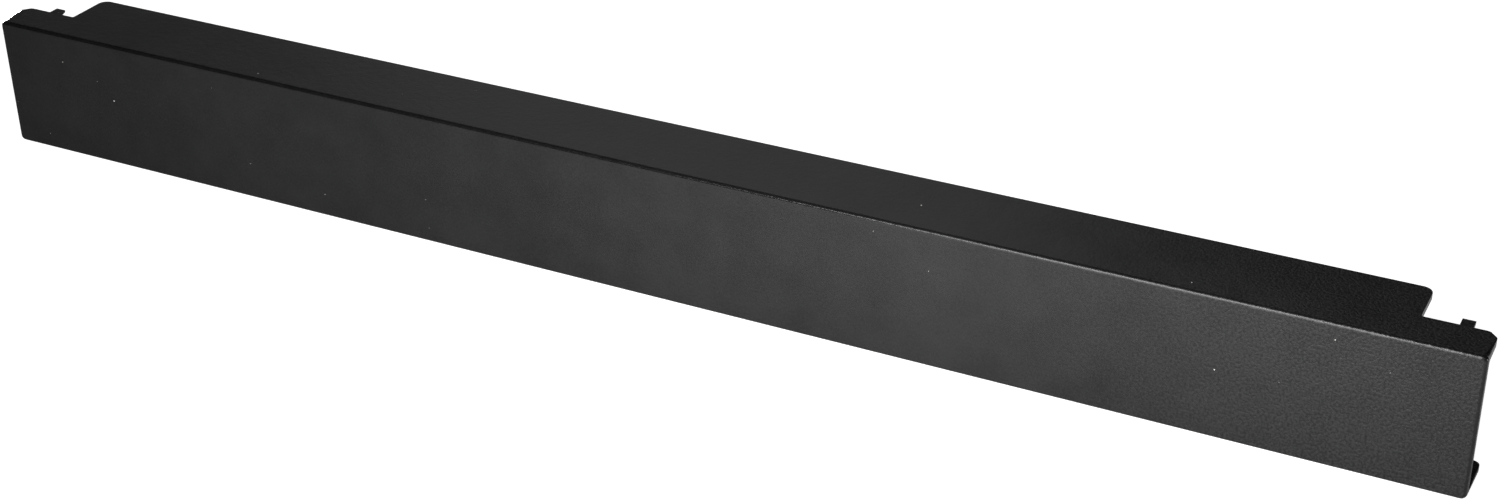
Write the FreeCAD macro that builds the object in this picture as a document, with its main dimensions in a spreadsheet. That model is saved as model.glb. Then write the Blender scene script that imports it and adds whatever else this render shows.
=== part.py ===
import FreeCAD, Part
import math
import os
import Sketcher

# A 1U blanking panel for a 19-inch rack: one injection moulding.
#
# Local frame of the body: X runs along the panel, Y from the front face to the
# rear, Z up, with the origin in the middle of the front face. The placement then
# moves the origin to the middle of the footprint, on the surface that the panel
# stands on.

NODE = "blanking_panel"

DIMENSIONS = [
    ("panel_length", 482.6, "overall length, a 19-inch rack front"),
    ("panel_height", 43.5, "overall height, one rack unit less its gap"),
    ("face_wall", 2.0, "thickness of the front face"),
    ("flange_depth", 28.5, "front face to the rear edge of the flanges"),
    ("flange_root", 2.1, "flange thickness where it leaves the face"),
    ("flange_lip", 1.8, "flange thickness at its rear edge"),
    ("ear_width", 19.8, "each end of the panel that laps over a rack rail"),
    ("ear_depth", 13.0, "front face to the rear edge of the upper ears"),
    ("seat_depth", 17.0, "front face to the rail seat on the lower ears"),
    ("ear_corner", 3.5, "plan radius of the rear corners of the upper ears"),
    ("seat_corner", 2.0, "plan radius of the rear corners of the lower ears"),
    ("flange_corner", 3.0, "plan radius of the rear corners of the flanges"),
    ("relief_corner", 0.5, "plan radius in the inside corner beside each ear"),
    ("end_round", 1.8, "radius of the four corners seen from the front"),
    ("face_round", 1.2, "radius round the border of the front face"),
    ("inner_round", 1.0, "radius inside, between face and flanges"),
    ("rib_count", 6, "cross ribs between the flanges"),
    ("rib_root", 1.6, "thickness of a rib where it leaves the face"),
    ("rib_lip", 1.2, "thickness of a rib at its rear edge"),
    ("rib_fillet", 0.6, "radius where a rib meets the face"),
    ("rib_depth", 22.0, "front face to the rear edge of the ribs"),
    ("rib_inset", 12.0, "flange end to the middle of the first rib"),
    ("hole_inset", 8.75, "panel end to the line of square holes in the rail"),
    ("hole_edge", 5.875, "panel edge to the middle of the nearest square hole"),
    ("hole_size", 9.5, "width of the square holes in the rail"),
    ("hole_gap", 0.6, "play between a clip and the edges of its hole"),
    ("rail_room", 2.6, "rail seat to barb, for a rail of up to 2.5"),
    ("clip_width", 3.5, "width of a clip along the panel"),
    ("finger_reach", 2.4, "rail seat to the tip of the fixed finger of a clip"),
    ("leg_reach", 6.4, "rail seat to the tip of the springing leg of a clip"),
    ("clip_root", 7.0, "front face to the bottom of the slot in a clip"),
    ("clip_tip", 0.7, "thickness of both prongs at their tips"),
    ("slot_round", 2.0, "radius at the bottom of the slot in a clip"),
    ("finger_wall", 2.0, "thickness of the fixed finger of a clip"),
    ("finger_lead", 4.0, "length of the taper at the end of the finger"),
    ("leg_wall", 1.3, "thickness of the springing leg of a clip"),
    ("barb_height", 1.1, "barb standing out from the leg"),
    ("barb_land", 0.5, "flat on the crest of the barb"),
]

HALF_HEIGHT = "Dims.panel_height / 2"
HALF_LENGTH = "Dims.panel_length / 2"
FLANGE_END = "(Dims.panel_length / 2 - Dims.ear_width)"
CLIP_X = "(Dims.panel_length / 2 - Dims.hole_inset)"
HOLE_Z = "(Dims.panel_height / 2 - Dims.hole_edge)"
HOLE_REACH = "(Dims.hole_size / 2 - Dims.hole_gap)"
FINGER_TIP_Y = "(Dims.seat_depth + Dims.finger_reach)"
LEG_TIP_Y = "(Dims.seat_depth + Dims.leg_reach)"
RIB_SPAN = "(2 * " + FLANGE_END + " - 2 * Dims.rib_inset)"
CUT_SPARE = "2"
TOLERANCE = 1e-6


def make_sheet(doc):
    """Put the driving dimensions in a spreadsheet, one alias for each."""
    sheet = doc.addObject("Spreadsheet::Sheet", "Dims")
    for row, (alias, size, note) in enumerate(DIMENSIONS, start=1):
        sheet.set(f"A{row}", alias)
        sheet.set(f"B{row}", str(size))
        sheet.set(f"C{row}", note)
        sheet.setAlias(f"B{row}", alias)
    doc.recompute()
    return sheet


def measure(owner, text):
    """Give the number that an expression over the sheet comes to."""
    result = owner.evalExpression(text)
    return float(getattr(result, "Value", result))


def make_sketch(body, name, role, offset=None):
    """Add a sketch on an origin plane of the body, moved along its normal if asked."""
    plane = next(item for item in body.Origin.OriginFeatures if item.Role == role)
    sketch = body.newObject("Sketcher::SketchObject", name)
    sketch.AttachmentSupport = [(plane, "")]
    sketch.MapMode = "FlatFace"
    if offset:
        sketch.setExpression("AttachmentOffset.Base.z", offset)
    return sketch


def bind(sketch, constraint_kind, places, text):
    """Add a dimension to a sketch and tie it to an expression."""
    index = sketch.addConstraint(
        Sketcher.Constraint(constraint_kind, *places, abs(measure(sketch, text)))
    )
    sketch.setExpression(f"Constraints[{index}]", text)


def locate(sketch, item, end, across, up):
    """Fix one point of a sketch at a place given by two expressions."""
    origin = (-1, 1)
    for kind, axis, text in (("DistanceX", -2, across), ("DistanceY", -1, up)):
        number = measure(sketch, text)
        if abs(number) < TOLERANCE:
            sketch.addConstraint(Sketcher.Constraint("PointOnObject", item, end, axis))
        elif number > 0:
            bind(sketch, kind, (*origin, item, end), text)
        else:
            bind(sketch, kind, (item, end, *origin), f"-({text})")


def draw_outline(sketch, corners):
    """Draw a closed outline through corners (across, up) or (across, up, radius)."""
    spots = [
        FreeCAD.Vector(measure(sketch, corner[0]), measure(sketch, corner[1]), 0)
        for corner in corners
    ]
    count = len(corners)
    entries, exits, arcs = [], [], {}
    for i, corner in enumerate(corners):
        back = (spots[i - 1] - spots[i]).normalize()
        ahead = (spots[(i + 1) % count] - spots[i]).normalize()
        reach = 0.0
        if len(corner) == 3:
            radius = measure(sketch, corner[2])
            half_angle = back.getAngle(ahead) / 2
            reach = radius / math.tan(half_angle)
        entries.append(spots[i] + back * reach)
        exits.append(spots[i] + ahead * reach)
        if reach:
            inward = (back + ahead).normalize()
            offset = (reach**2 + radius**2) ** 0.5 - radius
            arcs[i] = Part.Arc(entries[i], spots[i] + inward * offset, exits[i])

    lines = [
        sketch.addGeometry(Part.LineSegment(exits[i], entries[(i + 1) % count]))
        for i in range(count)
    ]
    for i, corner in enumerate(corners):
        before, after = lines[i - 1], lines[i]
        if i not in arcs:
            sketch.addConstraint(Sketcher.Constraint("Coincident", before, 2, after, 1))
            locate(sketch, after, 1, corner[0], corner[1])
            continue
        arc = sketch.addGeometry(arcs[i])
        starts_here = sketch.getPoint(arc, 1).distanceToPoint(entries[i]) < TOLERANCE
        first, last = (1, 2) if starts_here else (2, 1)
        peak = sketch.addGeometry(Part.Point(spots[i]), True)
        sketch.addConstraint(Sketcher.Constraint("Tangent", before, 2, arc, first))
        sketch.addConstraint(Sketcher.Constraint("Tangent", arc, last, after, 1))
        sketch.addConstraint(Sketcher.Constraint("PointOnObject", peak, 1, before))
        sketch.addConstraint(Sketcher.Constraint("PointOnObject", peak, 1, after))
        bind(sketch, "Radius", (arc,), corner[2])
        locate(sketch, peak, 1, corner[0], corner[1])


def add_pad(body, name, sketch, length):
    """Pad a sketch evenly to both sides of its plane."""
    pad = body.newObject("PartDesign::Pad", name)
    pad.Profile = sketch
    pad.SideType = "Symmetric"
    pad.setExpression("Length", length)
    body.Document.recompute()
    return pad


def add_mirror(body, name, feature):
    """Repeat a feature at the other end of the panel."""
    plane = next(item for item in body.Origin.OriginFeatures if item.Role == "YZ_Plane")
    mirror = body.newObject("PartDesign::Mirrored", name)
    mirror.Originals = [feature]
    mirror.MirrorPlane = (plane, [""])
    body.Tip = mirror
    body.Document.recompute()
    return mirror


def add_fillet(body, name, base, test, radius):
    """Round the edges of a feature that pass a test."""
    names = [
        f"Edge{number}"
        for number, edge in enumerate(base.Shape.Edges, start=1)
        if test(edge)
    ]
    fillet = body.newObject("PartDesign::Fillet", name)
    fillet.Base = (base, names)
    fillet.setExpression("Radius", radius)
    body.Document.recompute()
    return fillet


def add_channel(body):
    """Pad the channel section: front face and two flanges that thin towards the rear."""
    sketch = make_sketch(body, "ChannelSection", "YZ_Plane")
    top = HALF_HEIGHT
    bottom = f"-{HALF_HEIGHT}"
    draw_outline(
        sketch,
        [
            ("0", bottom),
            ("Dims.flange_depth", bottom),
            ("Dims.flange_depth", f"{bottom} + Dims.flange_lip"),
            ("Dims.face_wall", f"{bottom} + Dims.flange_root", "Dims.inner_round"),
            ("Dims.face_wall", f"{top} - Dims.flange_root", "Dims.inner_round"),
            ("Dims.flange_depth", f"{top} - Dims.flange_lip"),
            ("Dims.flange_depth", top),
            ("0", top),
        ],
    )
    return add_pad(body, "Channel", sketch, "Dims.panel_length")


def round_ends(body, channel):
    """Round the four corners that the panel shows from the front."""
    half_length = measure(body, HALF_LENGTH)
    half_height = measure(body, HALF_HEIGHT)

    def is_outer_corner(edge):
        middle = edge.BoundBox.Center
        at_end = abs(abs(middle.x) - half_length) < TOLERANCE
        at_outside = abs(abs(middle.z) - half_height) < TOLERANCE
        return at_end and at_outside and edge.BoundBox.YLength > TOLERANCE

    radius = "min(Dims.end_round; 0.95 * Dims.flange_lip)"
    return add_fillet(body, "EndCorners", channel, is_outer_corner, radius)


def cut_relief(body, level, depth, corner, is_upper):
    """Cut one flange back beside each rail, which leaves its shallow ears."""
    sketch = make_sketch(body, f"{level}Relief", "XY_Plane")
    far_x = f"{HALF_LENGTH} + {CUT_SPARE}"
    far_y = f"Dims.flange_depth + {CUT_SPARE}"
    inner_x = f"{FLANGE_END} - Dims.flange_corner - {CUT_SPARE}"
    front_y = f"{depth} - {corner} - {CUT_SPARE}"
    draw_outline(
        sketch,
        [
            (inner_x, "Dims.flange_depth"),
            (FLANGE_END, "Dims.flange_depth", "Dims.flange_corner"),
            (FLANGE_END, depth, "Dims.relief_corner"),
            (HALF_LENGTH, depth, corner),
            (HALF_LENGTH, front_y),
            (far_x, front_y),
            (far_x, far_y),
            (inner_x, far_y),
        ],
    )
    before = body.Shape.Volume
    pocket = body.newObject("PartDesign::Pocket", f"{level}ReliefCut")
    pocket.Profile = sketch
    pocket.Type = "ThroughAll"
    pocket.Reversed = is_upper
    body.Document.recompute()
    if pocket.Shape.Volume >= before:
        raise RuntimeError(f"{level}ReliefCut removes nothing")
    return add_mirror(body, f"{level}ReliefMirror", pocket)


def round_face(body, base):
    """Round the whole border of the front face."""

    def is_front_border(edge):
        box = edge.BoundBox
        return box.YMax < TOLERANCE and box.YLength < TOLERANCE

    return add_fillet(body, "FaceBorder", base, is_front_border, "Dims.face_round")


def add_ribs(body):
    """Stand tapered cross ribs between the flanges, evenly spaced along the channel."""
    sketch = make_sketch(body, "RibPlan", "XY_Plane")
    middle = f"-({FLANGE_END} - Dims.rib_inset)"
    half_root = "Dims.rib_root / 2"
    half_lip = "Dims.rib_lip / 2"
    half_foot = f"({half_root} + Dims.rib_fillet + {CUT_SPARE})"
    buried = "Dims.face_wall / 2"
    draw_outline(
        sketch,
        [
            (f"{middle} - {half_foot}", buried),
            (f"{middle} + {half_foot}", buried),
            (f"{middle} + {half_foot}", "Dims.face_wall"),
            (f"{middle} + {half_root}", "Dims.face_wall", "Dims.rib_fillet"),
            (f"{middle} + {half_lip}", "Dims.rib_depth"),
            (f"{middle} - {half_lip}", "Dims.rib_depth"),
            (f"{middle} - {half_root}", "Dims.face_wall", "Dims.rib_fillet"),
            (f"{middle} - {half_foot}", "Dims.face_wall"),
        ],
    )
    rib = add_pad(body, "Rib", sketch, "Dims.panel_height - Dims.flange_lip")
    axis = next(item for item in body.Origin.OriginFeatures if item.Role == "X_Axis")
    pattern = body.newObject("PartDesign::LinearPattern", "Ribs")
    pattern.Originals = [rib]
    pattern.Direction = (axis, [""])
    pattern.setExpression("Length", RIB_SPAN)
    pattern.setExpression("Occurrences", "Dims.rib_count")
    body.Tip = pattern
    body.Document.recompute()
    return pattern


def draw_clip(sketch, side):
    """Draw one forked clip: a fixed finger outside, a barbed springing leg inside."""
    finger_z = f"({HOLE_Z} + {HOLE_REACH})"
    leg_z = f"({HOLE_Z} - {HOLE_REACH})"
    barb_y = "(Dims.seat_depth + Dims.rail_room)"
    front = "Dims.face_wall / 2"
    corners = [
        (front, finger_z),
        (FINGER_TIP_Y, finger_z),
        (FINGER_TIP_Y, f"{finger_z} - Dims.clip_tip"),
        (f"{FINGER_TIP_Y} - Dims.finger_lead", f"{finger_z} - Dims.finger_wall"),
        ("Dims.clip_root", f"{finger_z} - Dims.finger_wall", "Dims.slot_round"),
        ("Dims.clip_root", f"{leg_z} + Dims.leg_wall", "Dims.slot_round"),
        (LEG_TIP_Y, f"{leg_z} + Dims.leg_wall"),
        (LEG_TIP_Y, f"{leg_z} + Dims.leg_wall - Dims.clip_tip"),
        (f"{barb_y} + Dims.barb_land", f"{leg_z} - Dims.barb_height"),
        (barb_y, f"{leg_z} - Dims.barb_height"),
        (barb_y, leg_z),
        (front, leg_z),
    ]
    draw_outline(sketch, [(c[0], f"{side}({c[1]})", *c[2:]) for c in corners])


def add_clips(body):
    """Add the clips that snap into the rail's square holes, above and below."""
    sketch = make_sketch(body, "ClipSide", "YZ_Plane", CLIP_X)
    draw_clip(sketch, "+")
    draw_clip(sketch, "-")
    clips = add_pad(body, "ClipPair", sketch, "Dims.clip_width")
    return add_mirror(body, "ClipPairMirror", clips)


def check(doc, body):
    """Stop if any object failed, or if the panel isn't one valid solid."""
    for item in doc.Objects:
        if "Invalid" in item.State or "Error" in item.State:
            raise RuntimeError(f"{item.Name} failed: {item.State}")
    shape = body.Shape
    if shape.isNull() or not shape.isValid():
        raise RuntimeError(f"{body.Label} has no valid shape")
    if len(shape.Solids) != 1:
        raise RuntimeError(f"{body.Label} came out as {len(shape.Solids)} solids")


def main():
    doc = FreeCAD.newDocument("BlankingPanel")
    make_sheet(doc)
    body = doc.addObject("PartDesign::Body", "Panel")
    body.Label = NODE
    body.setExpression("Placement.Base.y", "-Dims.flange_depth / 2")
    body.setExpression("Placement.Base.z", HALF_HEIGHT)
    doc.recompute()

    channel = add_channel(body)
    round_ends(body, channel)
    cut_relief(body, "Upper", "Dims.ear_depth", "Dims.ear_corner", True)
    reliefs = cut_relief(body, "Lower", "Dims.seat_depth", "Dims.seat_corner", False)
    round_face(body, reliefs)
    add_ribs(body)
    add_clips(body)

    doc.recompute()
    check(doc, body)
    os.makedirs("parts", exist_ok=True)
    body.Shape.exportStep(f"parts/{body.Label}.step")
    box = body.Shape.BoundBox
    print(f"{body.Label}: {box.XLength:.2f} x {box.YLength:.2f} x {box.ZLength:.2f} mm")
    print(f"volume {body.Shape.Volume / 1000:.2f} cm3, {len(body.Shape.Faces)} faces")


main()
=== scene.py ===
import math

import bpy
from mathutils import Matrix, Vector

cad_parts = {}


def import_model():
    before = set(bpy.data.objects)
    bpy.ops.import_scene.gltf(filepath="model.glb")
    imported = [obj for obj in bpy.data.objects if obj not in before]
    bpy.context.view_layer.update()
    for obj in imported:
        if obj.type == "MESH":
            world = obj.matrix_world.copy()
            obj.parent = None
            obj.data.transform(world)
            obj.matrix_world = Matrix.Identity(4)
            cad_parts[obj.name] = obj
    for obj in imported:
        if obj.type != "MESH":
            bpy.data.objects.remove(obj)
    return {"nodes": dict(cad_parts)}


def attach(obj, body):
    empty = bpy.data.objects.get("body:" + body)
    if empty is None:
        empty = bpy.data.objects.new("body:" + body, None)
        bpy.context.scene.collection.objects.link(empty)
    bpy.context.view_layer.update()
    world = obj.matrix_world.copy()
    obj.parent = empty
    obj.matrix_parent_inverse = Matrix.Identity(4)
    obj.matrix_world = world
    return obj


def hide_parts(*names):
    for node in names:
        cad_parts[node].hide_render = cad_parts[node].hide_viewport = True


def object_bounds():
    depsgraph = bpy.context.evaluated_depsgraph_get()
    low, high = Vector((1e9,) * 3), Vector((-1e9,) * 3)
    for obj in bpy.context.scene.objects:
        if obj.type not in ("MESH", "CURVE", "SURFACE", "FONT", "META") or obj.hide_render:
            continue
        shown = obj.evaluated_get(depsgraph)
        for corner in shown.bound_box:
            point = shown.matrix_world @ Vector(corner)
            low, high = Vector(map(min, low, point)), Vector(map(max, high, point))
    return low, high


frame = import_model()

CAD_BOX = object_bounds()
LOW, HIGH = CAD_BOX

# Every length is in metres, in the CAD frame: +X along the panel, +Y from the front face to the
# rear, +Z up. The origin is in the middle of the panel's footprint.
MM = 0.001
FRONT_Y = LOW.y
REAR_Y = HIGH.y
TOP_Z = HIGH.z
END_X = HIGH.x

# The camera that took the photo, from a fit to the panel's outlines. Its roll is in radians, and
# its lens and sensor are in millimetres.
CAMERA_AT = (0.3095, -0.54539, 0.35818)
CAMERA_AIM = (0.03533, FRONT_Y, 0.02426)
CAMERA_ROLL = -0.0138
CAMERA_LENS = 57.34
CAMERA_SENSOR = 36.0
CAMERA_NEAR = 0.01
CAMERA_FAR = 100.0

# The CAD's ears, the radius along the ends of its flanges, and the share of that radius that is
# left at the ears' rear corners.
UPPER_EAR_DEPTH = 13.0 * MM
UPPER_EAR_CORNER = 3.5 * MM
LOWER_EAR_DEPTH = 17.0 * MM
LOWER_EAR_CORNER = 2.0 * MM
END_ROUND = 1.71 * MM
CRISP_SHARE = 0.1
TOLERANCE = 0.02 * MM

# Noises in the plastic: size of the features, detail, roughness.
GRAIN = (0.75 * MM, 1.5, 0.6)
PEBBLE = (2.2 * MM, 1.0, 0.5)
CLOUD = (14 * MM, 3.0, 0.55)
FLOW = (60 * MM, 2.0, 0.5)
WAVES = (25 * MM, 2.0, 0.5)
RUB_PATCHES = (3.0 * MM, 3.0, 0.6)
FLOW_STRETCH = (1.0, 1.0, 0.35)
NOISE_MIDDLE = 0.5

# The grain is faint on most of the panel and grows to its full strength at the right end.
GRAIN_GROWS_FROM_X = 0.11
GRAIN_FULL_FROM_X = 0.23
GRAIN_FAINT = 0.3
GRAIN_FULL = 1.75

# How much each noise adds to the plastic's shade, and the shades that are darkest and palest.
CLOUD_SHADE = 0.20
FLOW_SHADE = 0.15
GRAIN_SHADE = 0.65
SHADE_OFFSET = 0.325
DARKEST_SHADE = 0.36
PALEST_SHADE = 0.64
PLASTIC_DARK = (0.0060, 0.0060, 0.0061)
PLASTIC_PALE = (0.0180, 0.0180, 0.0183)
PLASTIC_SPECULAR = 0.3

# How much a noise adds to the roughness, and how high a noise's relief stands.
PLASTIC_ROUGHNESS = 0.32
FLOW_ROUGHNESS = 0.05
CLOUD_ROUGHNESS = 0.06
GRAIN_ROUGHNESS = 0.06
WAVES_HEIGHT = 0.05 * MM
PEBBLE_HEIGHT = 0.06 * MM
GRAIN_HEIGHT = 0.15 * MM

# The edge radii are glossier and calmer than the faces, and a little rubbed in patches; their
# colour is darkened as painted shade.
# A face points along an axis, so the largest part of its normal is nearly 1.
FACE_NORMAL = 0.995
EDGE_NORMAL = 0.93
# Painted shade on the edge radii: the near-black colour they are darkened towards, and how far.
EDGE_PAINTED_SHADE = (0.0030, 0.0030, 0.0030)
EDGE_PAINTED_SHADE_SHARE = 0.7
EDGE_ROUGHNESS = 0.22
EDGE_CALM = 0.6
RUB_STARTS = 0.35
RUB_FULL = 0.7
RUB_PALE = (0.05, 0.05, 0.05)
RUB_SHARE = 0.03

# Dust specks: spacing of the cells, radius of a speck, share of the cells whose speck is there.
# The cells are shifted by parts of their spacing, and a speck fades out beyond its core.
COARSE_DUST = (10 * MM, 0.30 * MM, 0.5)
FINE_DUST = (6 * MM, 0.12 * MM, 0.4)
DUST_SHIFT = (1.0, 0.3, 0.7)
DUST_CORE = 0.5
DUST_PALE = (0.60, 0.60, 0.57)
DUST_ROUGHNESS = 0.9

# The floor: white paper that the camera sees as white. In the panel's mirror it glows more to
# the right, and less at the foot of the front face than ahead of it or behind the panel.
FLOOR_HALF = 6.0
PAPER = (2 * MM, 2.0, 0.5)
PAPER_DARK = (0.44, 0.44, 0.44)
PAPER_PALE = (0.47, 0.47, 0.47)
PAPER_ROUGHNESS = 0.9
FLOOR_SEEN = 0.95
GLOW_LEFT_X = -0.40
GLOW_RIGHT_X = 0.30
GLOW_LEFT = 0.0
GLOW_RIGHT = 0.75
GLOW_AHEAD_Y = -0.07
GLOW_AT_FOOT = 0.35

WORLD_GREY = 1.0
WORLD_STRENGTH = 0.02

# Soft lamps: name, place, the point it faces, width, height, power in watts.
PANEL_RIGHT = (0.08, 0.0, 0.02)
PANEL_MIDDLE = (0.0, 0.0, 0.02)
LAMPS = (
    ("Key", (0.12, -0.30, 0.13), PANEL_RIGHT, 0.24, 0.24, 1.0),
    ("Fill", (0.10, -0.22, 0.16), PANEL_RIGHT, 0.24, 0.24, 0.55),
    ("Strip", (0.12, -0.46, 0.34), (0.12, FRONT_Y, TOP_Z), 0.60, 0.04, 2.0),
    ("Back_Near", (-0.35, 0.70, 0.50), PANEL_MIDDLE, 0.5, 0.5, 0.42),
    ("Back_Far", (-1.20, 1.10, 0.15), PANEL_MIDDLE, 0.5, 0.5, 0.42),
    ("Rear_Low", (-0.80, 0.36, 0.022), (0.0, 0.0, 0.022), 0.30, 0.04, 14.0),
    ("Right_Low", (1.00, 0.05, 0.06), (END_X, 0.0, 0.02), 0.30, 0.08, 1.2),
)


# ---- node trees ---------------------------------------------------------------------------------

# Where the Mix node has its share, its two colours and its result.
MIX_SHARE = 0
MIX_COLOURS = (6, 7)
MIX_RESULT = 2


class Nodes:
    """One material's node tree, with a short call for each kind of node that the materials use."""

    def __init__(self, name):
        self.material = bpy.data.materials.new(name)
        self.material.use_nodes = True
        self.tree = self.material.node_tree
        self.shader = self.tree.nodes["Principled BSDF"]
        self.output = self.tree.nodes["Material Output"]

    def node(self, kind, **settings):
        made = self.tree.nodes.new("ShaderNode" + kind)
        for key, value in settings.items():
            setattr(made, key, value)
        return made

    def put(self, socket, value):
        """Links a socket to a value that is another socket, and sets it otherwise."""
        if isinstance(value, bpy.types.NodeSocket):
            self.tree.links.new(value, socket)
        else:
            socket.default_value = value

    def math(self, operation, a, b=0.0):
        made = self.node("Math", operation=operation)
        for socket, value in zip(made.inputs, (a, b)):
            self.put(socket, value)
        return made.outputs[0]

    def add(self, a, b):
        return self.math("ADD", a, b)

    def times(self, a, b):
        return self.math("MULTIPLY", a, b)

    def remap(self, value, low, high, to_low=0.0, to_high=1.0, smooth=True):
        kind = "SMOOTHSTEP" if smooth else "LINEAR"
        made = self.node("MapRange", interpolation_type=kind)
        for socket, number in zip(made.inputs, (value, low, high, to_low, to_high)):
            self.put(socket, number)
        return made.outputs[0]

    def mix(self, share, a, b):
        """The colour a where the share is 0 and b where it is 1."""
        made = self.node("Mix", data_type="RGBA")
        self.put(made.inputs[MIX_SHARE], share)
        for index, colour in zip(MIX_COLOURS, (a, b)):
            self.put(made.inputs[index], (*colour, 1.0) if isinstance(colour, tuple) else colour)
        return made.outputs[MIX_RESULT]

    def mix_value(self, share, a, b):
        """The number a where the share is 0 and b where it is 1."""
        rest = self.math("SUBTRACT", 1.0, share)
        return self.add(self.times(a, rest), self.times(share, b))

    def place(self, stretch=(1.0, 1.0, 1.0), shift=(0.0, 0.0, 0.0)):
        """The point on the object in metres, stretched and shifted."""
        made = self.node("Mapping")
        self.put(made.inputs["Vector"], self.node("TexCoord").outputs["Object"])
        made.inputs["Scale"].default_value = stretch
        made.inputs["Location"].default_value = shift
        return made.outputs[0]

    def split(self, vector):
        """The x, y and z of a vector."""
        made = self.node("SeparateXYZ")
        self.put(made.inputs[0], vector)
        return list(made.outputs)

    def noise(self, size, detail, roughness, at=None):
        """Noise from 0 to 1, with features of about that size in metres."""
        made = self.node("TexNoise")
        self.put(made.inputs["Vector"], at or self.place())
        for key, value in (("Scale", 1.0 / size), ("Detail", detail), ("Roughness", roughness)):
            made.inputs[key].default_value = value
        return made.outputs[0]

    def cells(self, size, at):
        """(distance to the nearest cell centre in metres, a random number for each cell)."""
        made = self.node("TexVoronoi")
        self.put(made.inputs["Vector"], at)
        made.inputs["Scale"].default_value = 1.0 / size
        apart = self.node("SeparateColor")
        self.put(apart.inputs[0], made.outputs["Color"])
        return self.times(made.outputs["Distance"], size), apart.outputs[0]

    def bump(self, height, distance, under=None):
        """The surface's direction with that relief, over another relief where one is given."""
        made = self.node("Bump")
        self.put(made.inputs["Height"], height)
        made.inputs["Distance"].default_value = distance
        if under is not None:
            self.put(made.inputs["Normal"], under)
        return made.outputs[0]


# ---- the panel's black moulded plastic ----------------------------------------------------------

def rounded_edges(n):
    """1 on the moulded edge radii and 0 on the flat faces."""
    normal = n.split(n.node("NewGeometry").outputs["True Normal"])
    x, y, z = (n.math("ABSOLUTE", part) for part in normal)
    largest = n.math("MAXIMUM", n.math("MAXIMUM", x, y), z)
    return n.remap(largest, FACE_NORMAL, EDGE_NORMAL)


def specks(n, spacing, radius, share):
    """Sparse round dust specks of that radius, in a share of the cells."""
    shift = tuple(spacing * part for part in DUST_SHIFT)
    distance, random = n.cells(spacing, n.place(shift=shift))
    there = n.math("LESS_THAN", random, share)
    return n.times(n.remap(distance, radius, DUST_CORE * radius), there)


def plastic_colour(n, cloud, flow, speckle, edge, dust):
    shade = n.add(n.times(cloud, CLOUD_SHADE), n.times(flow, FLOW_SHADE))
    shade = n.add(n.add(shade, SHADE_OFFSET), n.times(speckle, GRAIN_SHADE))
    pale = n.remap(shade, DARKEST_SHADE, PALEST_SHADE)
    rub = n.times(edge, n.remap(n.noise(*RUB_PATCHES), RUB_STARTS, RUB_FULL))
    colour = n.mix(pale, PLASTIC_DARK, PLASTIC_PALE)
    # Painted shade: the edge radii are darkened in the colour.
    colour = n.mix(n.times(edge, EDGE_PAINTED_SHADE_SHARE), colour, EDGE_PAINTED_SHADE)
    colour = n.mix(n.times(rub, RUB_SHARE), colour, RUB_PALE)
    return n.mix(dust, colour, DUST_PALE)


def plastic_roughness(n, cloud, flow, grain, edge, dust):
    rough = n.add(PLASTIC_ROUGHNESS, n.times(flow, FLOW_ROUGHNESS))
    rough = n.add(rough, n.times(cloud, CLOUD_ROUGHNESS))
    rough = n.add(rough, n.times(grain, GRAIN_ROUGHNESS))
    rough = n.mix_value(edge, rough, EDGE_ROUGHNESS)
    return n.math("MAXIMUM", rough, n.times(dust, DUST_ROUGHNESS))


def plastic_relief(n, speckle, edge):
    waves = n.bump(n.noise(*WAVES), WAVES_HEIGHT)
    pebble = n.bump(n.noise(*PEBBLE), PEBBLE_HEIGHT, waves)
    calm = n.math("SUBTRACT", 1.0, n.times(edge, EDGE_CALM))
    return n.bump(n.times(speckle, calm), GRAIN_HEIGHT, pebble)


def panel_plastic():
    n = Nodes("Panel_Plastic")
    grain = n.noise(*GRAIN)
    cloud = n.noise(*CLOUD)
    flow = n.noise(*FLOW, n.place(FLOW_STRETCH))
    edge = rounded_edges(n)
    dust = n.math("MAXIMUM", specks(n, *COARSE_DUST), specks(n, *FINE_DUST))
    along = n.split(n.place())[0]
    strength = n.remap(along, GRAIN_GROWS_FROM_X, GRAIN_FULL_FROM_X, GRAIN_FAINT, GRAIN_FULL)
    speckle = n.times(n.math("SUBTRACT", grain, NOISE_MIDDLE), strength)
    n.put(n.shader.inputs["Base Color"], plastic_colour(n, cloud, flow, speckle, edge, dust))
    n.put(n.shader.inputs["Roughness"], plastic_roughness(n, cloud, flow, grain, edge, dust))
    n.put(n.shader.inputs["Normal"], plastic_relief(n, speckle, edge))
    n.shader.inputs["Specular IOR Level"].default_value = PLASTIC_SPECULAR
    return n.material


# ---- the panel's mesh ---------------------------------------------------------------------------

def crisp_ends(cad_mesh):
    """A copy of the CAD mesh with a much smaller radius at the back of the four flange ends.

    The moulded radius along each flange end shrinks evenly from the front face to the ear's rear
    corner. The CAD normals stay, because the surfaces keep their directions.
    """
    mesh = cad_mesh.copy()
    normals = [tuple(corner.vector) for corner in mesh.corner_normals]
    for vertex in mesh.vertices:
        point = vertex.co
        upper = point.z > 0.5 * TOP_Z
        level = TOP_Z if upper else LOW.z
        ear_depth = UPPER_EAR_DEPTH if upper else LOWER_EAR_DEPTH
        corner_radius = UPPER_EAR_CORNER if upper else LOWER_EAR_CORNER
        corner_y = FRONT_Y + ear_depth - corner_radius
        inward = END_X - abs(point.x)
        rise = abs(point.z - level)
        off_round = abs(math.hypot(END_ROUND - inward, END_ROUND - rise) - END_ROUND)
        on_round = off_round < TOLERANCE and max(inward, rise) <= END_ROUND + TOLERANCE
        if not on_round or point.y < corner_y - TOLERANCE:
            continue
        inward *= CRISP_SHARE
        rise *= CRISP_SHARE
        along = corner_radius - inward
        point.x = math.copysign(END_X - inward, point.x)
        point.y = corner_y + math.sqrt(max(corner_radius ** 2 - along ** 2, 0.0))
        point.z = level - rise if upper else level + rise
    mesh.normals_split_custom_set(normals)
    mesh.materials.clear()
    mesh.materials.append(panel_plastic())
    return mesh


# ---- studio -------------------------------------------------------------------------------------

def link(obj):
    bpy.context.scene.collection.objects.link(obj)
    return obj


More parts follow.
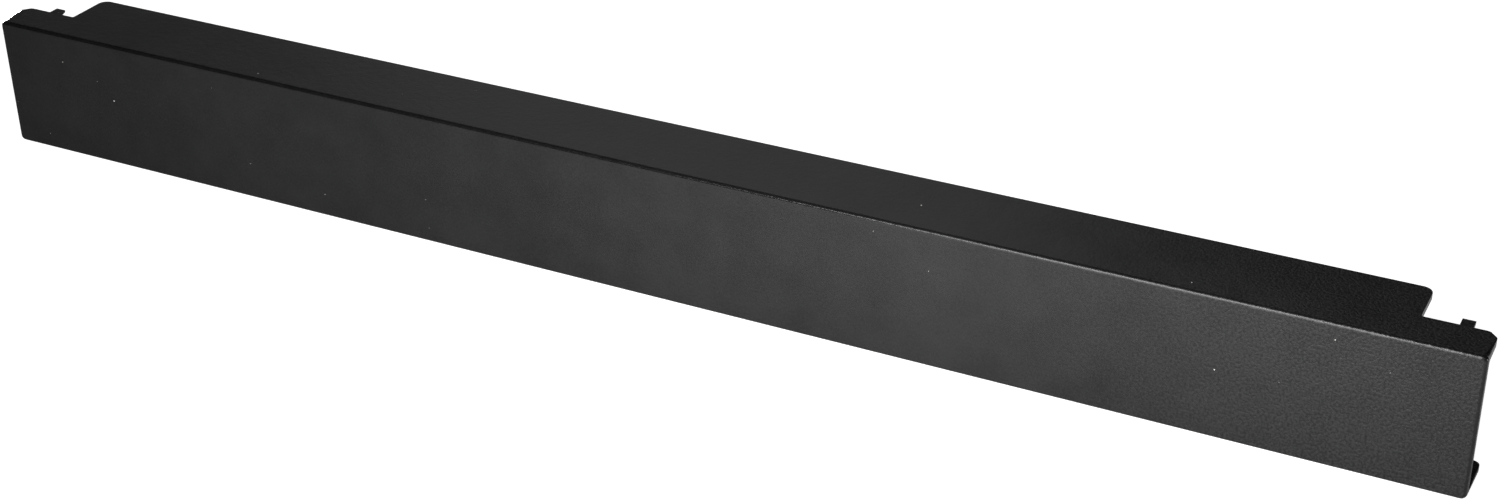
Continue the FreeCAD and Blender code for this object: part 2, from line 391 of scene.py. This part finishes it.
def camera():
    back = (Vector(CAMERA_AT) - Vector(CAMERA_AIM)).normalized()
    right = Vector((0.0, 0.0, 1.0)).cross(back).normalized()
    right.rotate(Matrix.Rotation(CAMERA_ROLL, 3, back))
    up = back.cross(right)
    data = bpy.data.cameras.new("Camera")
    data.lens = CAMERA_LENS
    data.sensor_width = CAMERA_SENSOR
    data.clip_start = CAMERA_NEAR
    data.clip_end = CAMERA_FAR
    made = link(bpy.data.objects.new("Camera", data))
    made.matrix_world = Matrix((right, up, back)).transposed().to_4x4()
    made.location = CAMERA_AT
    bpy.context.scene.camera = made


def soft_lamp(name, at, aim, width, height, power):
    """A soft lamp at a point, facing another, that the camera doesn't see."""
    data = bpy.data.lights.new(name, "AREA")
    data.shape = "RECTANGLE"
    data.size = width
    data.size_y = height
    data.energy = power
    made = link(bpy.data.objects.new(name, data))
    made.location = at
    made.rotation_mode = "QUATERNION"
    made.rotation_quaternion = (Vector(at) - Vector(aim)).to_track_quat("Z", "Y")
    made.visible_camera = False


def floor_glow(n):
    """How strongly the floor glows where the panel mirrors it."""
    across, forward, _ = n.split(n.place())
    sideways = n.remap(across, GLOW_LEFT_X, GLOW_RIGHT_X, GLOW_LEFT, GLOW_RIGHT)
    ahead = n.remap(forward, FRONT_Y, GLOW_AHEAD_Y, GLOW_AT_FOOT, 1.0, smooth=False)
    behind = n.remap(forward, 0.0, REAR_Y, 0.0, 1.0, smooth=False)
    return n.times(sideways, n.math("MAXIMUM", ahead, behind))


def floor_paper():
    """White paper, lit by the lamps, that the camera sees as white except in a shadow."""
    n = Nodes("Floor_Paper")
    n.shader.inputs["Roughness"].default_value = PAPER_ROUGHNESS
    n.shader.inputs["Specular IOR Level"].default_value = 0.0
    n.put(n.shader.inputs["Base Color"], n.mix(n.noise(*PAPER), PAPER_DARK, PAPER_PALE))
    rays = n.node("LightPath").outputs
    mirrored = n.math("MAXIMUM", rays["Is Glossy Ray"], rays["Is Transmission Ray"])
    seen = n.times(rays["Is Camera Ray"], FLOOR_SEEN)
    glow = n.node("Emission")
    n.put(glow.inputs["Strength"], n.add(seen, n.times(mirrored, floor_glow(n))))
    both = n.node("AddShader")
    n.put(both.inputs[0], n.shader.outputs[0])
    n.put(both.inputs[1], glow.outputs[0])
    n.put(n.output.inputs["Surface"], both.outputs[0])
    return n.material


def floor(half):
    mesh = bpy.data.meshes.new("Floor")
    corners = [(x * half, y * half, LOW.z) for x, y in ((-1, -1), (1, -1), (1, 1), (-1, 1))]
    mesh.from_pydata(corners, [], [(0, 1, 2, 3)])
    mesh.materials.append(floor_paper())
    link(bpy.data.objects.new("Floor", mesh))


def world(grey, strength):
    made = bpy.data.worlds.new("Studio")
    made.use_nodes = True
    background = made.node_tree.nodes["Background"]
    background.inputs["Color"].default_value = (grey, grey, grey, 1.0)
    background.inputs["Strength"].default_value = strength
    bpy.context.scene.world = made


cad_panel = frame["nodes"]["blanking_panel"]
panel = link(bpy.data.objects.new("Panel", crisp_ends(cad_panel.data)))
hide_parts("blanking_panel")
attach(panel, "root")

camera()
for lamp in LAMPS:
    soft_lamp(*lamp)
floor(FLOOR_HALF)
world(WORLD_GREY, WORLD_STRENGTH)

bpy.context.scene.view_settings.view_transform = "Standard"
